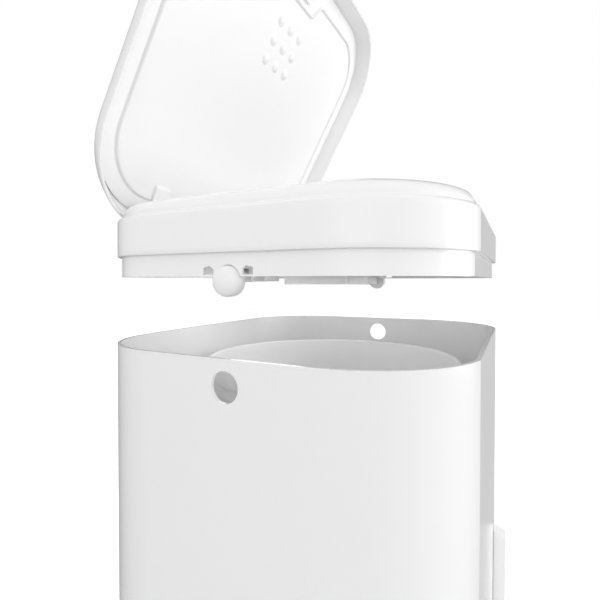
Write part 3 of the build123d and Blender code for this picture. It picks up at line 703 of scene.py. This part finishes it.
def soft_bead(face):
    """Half-round bead that follows the panel's edge and steps in round the catch."""
    path = lid_plan(21.2)
    front = min(p[1] for p in path)
    step = -90.0 - HINGE.y / MM
    mouth, root = 26.0, 21.0
    keep = [p for p in path if not (abs(p[0]) < mouth + 5 and p[1] < front + 5)]
    start = next(i for i in range(len(keep)) if keep[i][0] < -mouth and keep[i][1] < front + 1.5)
    keep = keep[start:] + keep[:start]
    corner = 4.6
    jog = []
    for side in (1, -1):
        x, deep = side * mouth, side * root
        slant = (deep - x) / (step - front) * corner
        leg = [
            ((x + side * corner, front), (x, front), (x + slant, front + corner)),
            ((deep - slant, step - corner), (deep, step), (deep - side * corner, step)),
        ]
        bend = []
        for a, b, c in leg:
            for t in (i / 6 for i in range(7)):
                u = 1 - t
                bend.append(tuple(u * u * p + 2 * t * u * q + t * t * r for p, q, r in zip(a, b, c)))
        jog.append(bend)
    path = keep + jog[0] + list(reversed(jog[1]))
    rings = []
    count = len(path)
    section = [(1.85, 0.02), (1.5, -0.16), (1.15, -0.55), (0.8, -1.05), (0.4, -1.4), (0.0, -1.5)]
    section = section + [(-a, h) for a, h in reversed(section[:-1])]
    for i in range(count):
        before, here, after = Vector(path[i - 1]), Vector(path[i]), Vector(path[(i + 1) % count])
        along = (after - before).normalized()
        across = Vector((-along.y, along.x))
        rings.append([(here.x + across.x * a, here.y + across.y * a, face + h) for a, h in section])
    bead = skin("lid_bead", rings, closed=True)
    for x0, x1 in ARMS:
        combine(bead, block("gap", (x0 - 1, x1 + 1), (-32, 8), (-8, 8)))
    shade(bead, 50)
    bead.data.transform(hinge_frame())
    return bead


class CAN_OT_buttons(bpy.types.Operator):
    """Make the two sliding release buttons with their domed faces, tails and the curved arm."""

    bl_idname = "can.buttons"
    bl_label = "Release buttons"

    def execute(self, context):
        for side, name, body in ((-1, "left", "left_release"), (1, "right", "right_release")):
            node_name = f"release_slide_{name}"
            low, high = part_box(node_name)
            root = (low.x if side < 0 else high.x) / MM * side
            face = root + BUTTON_OUT
            y = BUTTON_Y
            profile = [(9.7, 7.6), (9.4, 8.0), (8.8, 8.15), (4.6, 8.15), (3.5, 8.02), (2.55, 7.65), (1.75, 7.0)]
            profile += [(1.1, 6.1), (0.6, 4.9), (0.25, 3.5), (0.06, 1.9), (0.0, 0.8), (0.0, 0.3)]
            rings = []
            for back, radius in profile:
                disc = disc_outline(y, SEAT - BUTTON_DROP, radius, 64)
                rings.append([(side * (face - back), a, b) for a, b in disc])
            knob = skin("knob", rings, caps=True)
            shade(knob, 35)
            tail, neck = 91.0, root - 5
            if side < 0:
                bars = [
                    ((tail, neck), 4.5, (-12, -8)),
                    ((tail, neck - 3), 9.0, (-10.4, -6.4)),
                    ((118.5, 122.8), 6.5, (-15.1, -10)),
                    ((92, 109), 6.5, (-14.9, -10)),
                ]
            else:
                bars = [
                    ((tail, neck), 4.5, (-12, -8)),
                    ((105.5, neck - 3), 9.0, (-10.4, -6.4)),
                    ((97, neck - 0.2), 1.5, (-18.3, -10)),
                ]
            parts = []
            for x, half, r in bars:
                xs = sorted((side * x[0], side * x[1]))
                bar = block("bar", xs, (y - half, y + half), (SEAT + r[0], SEAT + r[1]))
                soften(bar, 0.5)
                parts.append(bar)
            if side > 0:
                parts.append(release_arm())
            for part in parts:
                shade(part, 40)
            gather(knob, *parts)
            knob.name = f"release_button_{name}"
            place(knob, body, "white_button", mat_of("button satin"), node_name)
        return {"FINISHED"}


def release_arm():
    """Curved arm that follows the throat from the right button round to the back, with its rib."""
    outer, inner = 99.0, 96.0
    sweep = [radians(50) * i / 40 for i in range(41)]
    rings = []
    for a in sweep:
        pts = [(inner, -18.3), (outer, -18.3), (outer, -6.4), (inner, -6.4)]
        rings.append([(MIDDLE[0] + r * cos(a), MIDDLE[1] + r * sin(a), SEAT + h) for r, h in pts])
    arm = skin("arm", rings, caps=True)
    soften(arm, 0.4, 50)
    a = radians(12.5)
    ring = disc_outline(MIDDLE[0] + inner * cos(a), MIDDLE[1] + inner * sin(a), 1.6, 24)
    gather(arm, skin("rib", [level(ring, SEAT - 18.3), level(ring, SEAT - 7)], caps=True))
    return arm


def mat_of(name):
    """A finish made earlier."""
    return bpy.data.materials[name]


# --------------------------------------------------------------------- stage
def area_light(name, place, aim, size, power):
    """A soft square light at a place, turned towards a point."""
    lamp = bpy.data.lights.new(name, "AREA")
    lamp.size = size
    lamp.energy = power
    obj = bpy.data.objects.new(name, lamp)
    bpy.context.scene.collection.objects.link(obj)
    obj.location = place
    obj.rotation_euler = (Vector(aim) - Vector(place)).to_track_quat("-Z", "Y").to_euler()


class CAN_OT_stage(bpy.types.Operator):
    """Make the floor, the studio light and the camera."""

    bl_idname = "can.stage"
    bl_label = "Stage"

    def execute(self, context):
        scene = context.scene
        stage = scene.can_stage
        scene.view_settings.view_transform = "Standard"
        world = bpy.data.worlds.new("studio")
        scene.world = world
        world.use_nodes = True
        tree = world.node_tree
        tree.nodes.clear()
        out = tree.nodes.new("ShaderNodeOutputWorld")
        seen = node(tree, "ShaderNodeBackground", Strength=1.0)
        seen.inputs["Color"].default_value = (1, 1, 1, 1)
        cast = tree.nodes.new("ShaderNodeBackground")
        cast.inputs["Color"].default_value = (1, 1, 1, 1)
        way = tree.nodes.new("ShaderNodeTexCoord")
        axes = tree.nodes.new("ShaderNodeSeparateXYZ")
        tree.links.new(way.outputs["Generated"], axes.inputs[0])
        side = tree.nodes.new("ShaderNodeMapRange")
        side.interpolation_type = "SMOOTHSTEP"
        for name, value in (("From Min", -0.35), ("From Max", 0.75), ("To Min", 0.85), ("To Max", 0.05)):
            side.inputs[name].default_value = value
        tree.links.new(axes.outputs["X"], side.inputs["Value"])
        tree.links.new(side.outputs["Result"], cast.inputs["Strength"])
        ray = tree.nodes.new("ShaderNodeLightPath")
        mix = tree.nodes.new("ShaderNodeMixShader")
        tree.links.new(ray.outputs["Is Camera Ray"], mix.inputs["Fac"])
        tree.links.new(cast.outputs[0], mix.inputs[1])
        tree.links.new(seen.outputs[0], mix.inputs[2])
        tree.links.new(mix.outputs[0], out.inputs["Surface"])

        mesh = bpy.data.meshes.new("floor")
        half = 8.0
        corners = [(-half, -half, 0), (half, -half, 0), (half, half, 0), (-half, half, 0)]
        mesh.from_pydata(corners, [], [(0, 1, 2, 3)])
        floor = bpy.data.objects.new("floor", mesh)
        scene.collection.objects.link(floor)
        pale = bpy.data.materials.new("pale floor")
        pale.use_nodes = True
        grain = pale.node_tree
        base = grain.nodes["Principled BSDF"]
        base.inputs["Base Color"].default_value = (0.88, 0.88, 0.88, 1)
        base.inputs["Roughness"].default_value = 0.8
        base.inputs["Emission Strength"].default_value = 0.8
        ray = grain.nodes.new("ShaderNodeLightPath")
        grain.links.new(ray.outputs["Is Camera Ray"], base.inputs["Emission Color"])
        dim = node(grain, "ShaderNodeBsdfDiffuse", Roughness=0.0)
        dim.inputs["Color"].default_value = (0.16, 0.16, 0.16, 1)
        blend = grain.nodes.new("ShaderNodeMixShader")
        grain.links.new(ray.outputs["Is Glossy Ray"], blend.inputs["Fac"])
        grain.links.new(base.outputs[0], blend.inputs[1])
        grain.links.new(dim.outputs[0], blend.inputs[2])
        grain.links.new(blend.outputs[0], grain.nodes["Material Output"].inputs["Surface"])
        mesh.materials.append(pale)

        middle = (0.0, 0.0, 0.6)
        area_light("key", (-1.9, -0.5, 1.2), middle, 1.4, 5.5)
        area_light("front", (0.75, -1.5, 0.95), (0.0, 0.1, 0.8), 1.1, 18.0)
        area_light("top", (-0.3, 0.0, 2.6), middle, 2.2, 5.5)
        glow = bpy.data.lights.new("gap fill", "POINT")
        glow.energy, glow.shadow_soft_size, glow.specular_factor = 0.07, 0.03, 0.0
        fill = bpy.data.objects.new("gap fill", glow)
        scene.collection.objects.link(fill)
        fill.location = (-0.02, 0.04, RIM_Z + 0.02)
        fill.visible_camera = False

        lens = bpy.data.cameras.new("camera")
        lens.lens = stage.lens
        lens.sensor_width = 36.0
        lens.shift_x = -0.0008
        lens.shift_y = -0.0328
        lens.clip_start = 0.01
        view = bpy.data.objects.new("camera", lens)
        scene.collection.objects.link(view)
        view.location = stage.eye
        ahead = Vector((cos(stage.heading), sin(stage.heading), 0))
        view.rotation_euler = ahead.to_track_quat("-Z", "Y").to_euler()
        scene.camera = view
        return {"FINISHED"}


# --------------------------------------------------------------------- panel
class CAN_PT_panel(bpy.types.Panel):
    """Sidebar list of the can's settings and steps."""

    bl_idname = "CAN_PT_panel"
    bl_label = "Trash can"
    bl_space_type = "VIEW_3D"
    bl_region_type = "UI"
    bl_category = "Trash can"

    def draw(self, context):
        for settings in (context.scene.can_finish, context.scene.can_size, context.scene.can_stage):
            box = self.layout.box()
            for name in settings.__annotations__:
                box.prop(settings, name)
        for step in STEPS:
            self.layout.operator(step.bl_idname)


STEPS = (CAN_OT_finishes, CAN_OT_head, CAN_OT_lid, CAN_OT_lining, CAN_OT_buttons, CAN_OT_stage)
CLASSES = (CanFinish, CanSize, CanStage, *STEPS, CAN_PT_panel)


def register():
    """Register the classes and hang the settings on the scene."""
    for each in CLASSES:
        bpy.utils.register_class(each)
    bpy.types.Scene.can_finish = bpy.props.PointerProperty(type=CanFinish)
    bpy.types.Scene.can_size = bpy.props.PointerProperty(type=CanSize)
    bpy.types.Scene.can_stage = bpy.props.PointerProperty(type=CanStage)


def unregister():
    """Take the settings and classes away again."""
    del bpy.types.Scene.can_stage
    del bpy.types.Scene.can_size
    del bpy.types.Scene.can_finish
    for each in reversed(CLASSES):
        bpy.utils.unregister_class(each)


def main():
    """Run every step in order."""
    register()
    for step in STEPS:
        group, name = step.bl_idname.split(".")
        getattr(getattr(bpy.ops, group), name)()


if __name__ == "__main__":
    main()
